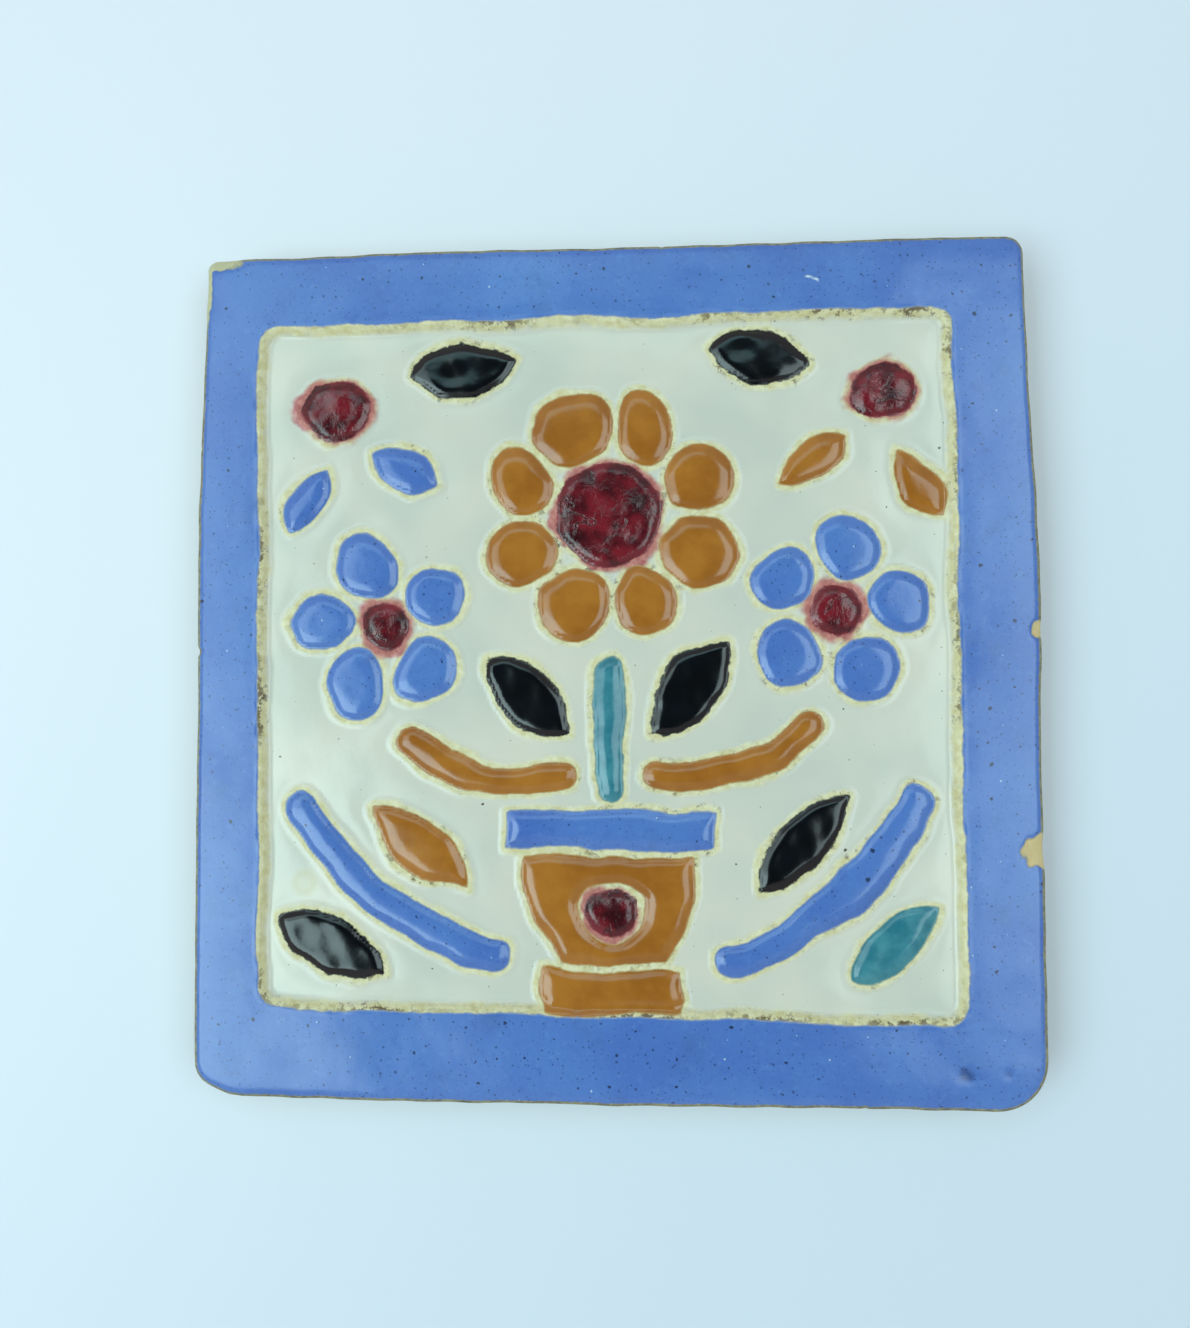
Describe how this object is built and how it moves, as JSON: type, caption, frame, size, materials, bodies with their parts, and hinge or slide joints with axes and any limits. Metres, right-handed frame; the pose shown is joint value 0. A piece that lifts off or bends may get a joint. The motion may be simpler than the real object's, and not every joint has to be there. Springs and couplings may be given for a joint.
{
  "type": "glazed relief tile",
  "caption": "Square glazed ceramic wall tile with a raised plain border round a sunken field that holds a flowerpot picture in low relief.",
  "frame": {"origin": "middle of the back, in the plane of the back", "axes": "+Z out of the glazed face, +Y up the picture, +X to the right of the picture"},
  "size_m": [0.1502, 0.1524, 0.0114],
  "materials": {
    "glaze": "glossy opaque coloured glazes over buff clay, bare clay on the back and in the thin lines between colours"
  },
  "bodies": {
    "root": {"tile": "glaze"}
  },
  "joints": []
}
